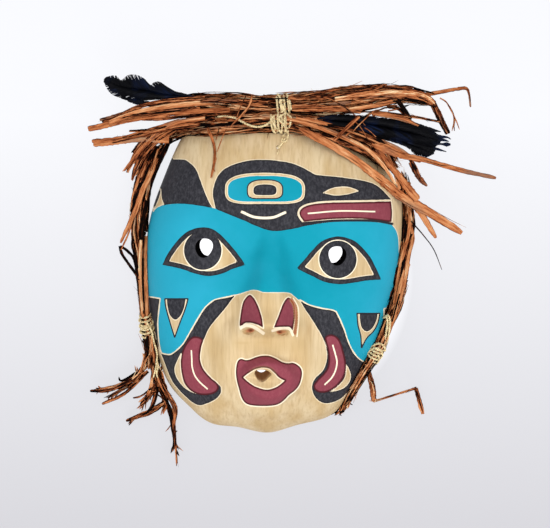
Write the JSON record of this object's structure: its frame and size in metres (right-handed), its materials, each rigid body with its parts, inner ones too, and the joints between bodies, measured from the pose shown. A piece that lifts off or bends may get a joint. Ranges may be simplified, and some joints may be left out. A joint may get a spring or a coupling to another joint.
{
  "type": "wild man mask",
  "caption": "Carved and painted wooden face mask with pierced eyes, a hollow back, and shredded bark, feathers and twine round the crown and cheeks.",
  "frame": {"origin": "under the middle of the whole object, on the plane that the flat rim of the mask's back lies on", "axes": "+Z out of the face, +Y towards the crown, +X towards the wearer's left, which is the right of someone looking at the face"},
  "size_m": [0.4092, 0.3952, 0.1175],
  "materials": {
    "painted_wood": "smooth carved wood, painted turquoise, charcoal and maroon in broad areas",
    "bark": "shredded fibrous bark, matte, red brown to orange",
    "feather": "blue black feather with a satin sheen",
    "twine": "dry straw coloured twine"
  },
  "bodies": {
    "root": {"mask": "painted_wood", "bark_brow": "bark", "bark_crossbar": "bark", "bark_hank_left": "bark", "bark_hank_right": "bark", "twine_crown": "twine", "twine_left": "twine", "twine_right": "twine", "feather_left": "feather", "feather_left_under": "feather", "feather_right": "feather", "feather_right_under": "feather", "ribbon_forked": "bark", "ribbon_fork_tip": "bark", "ribbon_beside": "bark", "ribbon_far_right": "bark", "ribbon_short_right": "bark", "ribbon_hooked": "bark", "ribbon_folded": "bark", "ribbon_hanging": "bark", "ribbon_thin_right": "bark", "ribbon_left_top": "bark", "ribbon_left_upper": "bark", "ribbon_left_low": "bark", "ribbon_cheek_upper": "bark", "ribbon_cheek_lower": "bark", "ribbon_chin_left": "bark", "ribbon_chin_trail": "bark", "ribbon_zigzag": "bark", "ribbon_over_crown": "bark"}
  },
  "joints": []
}
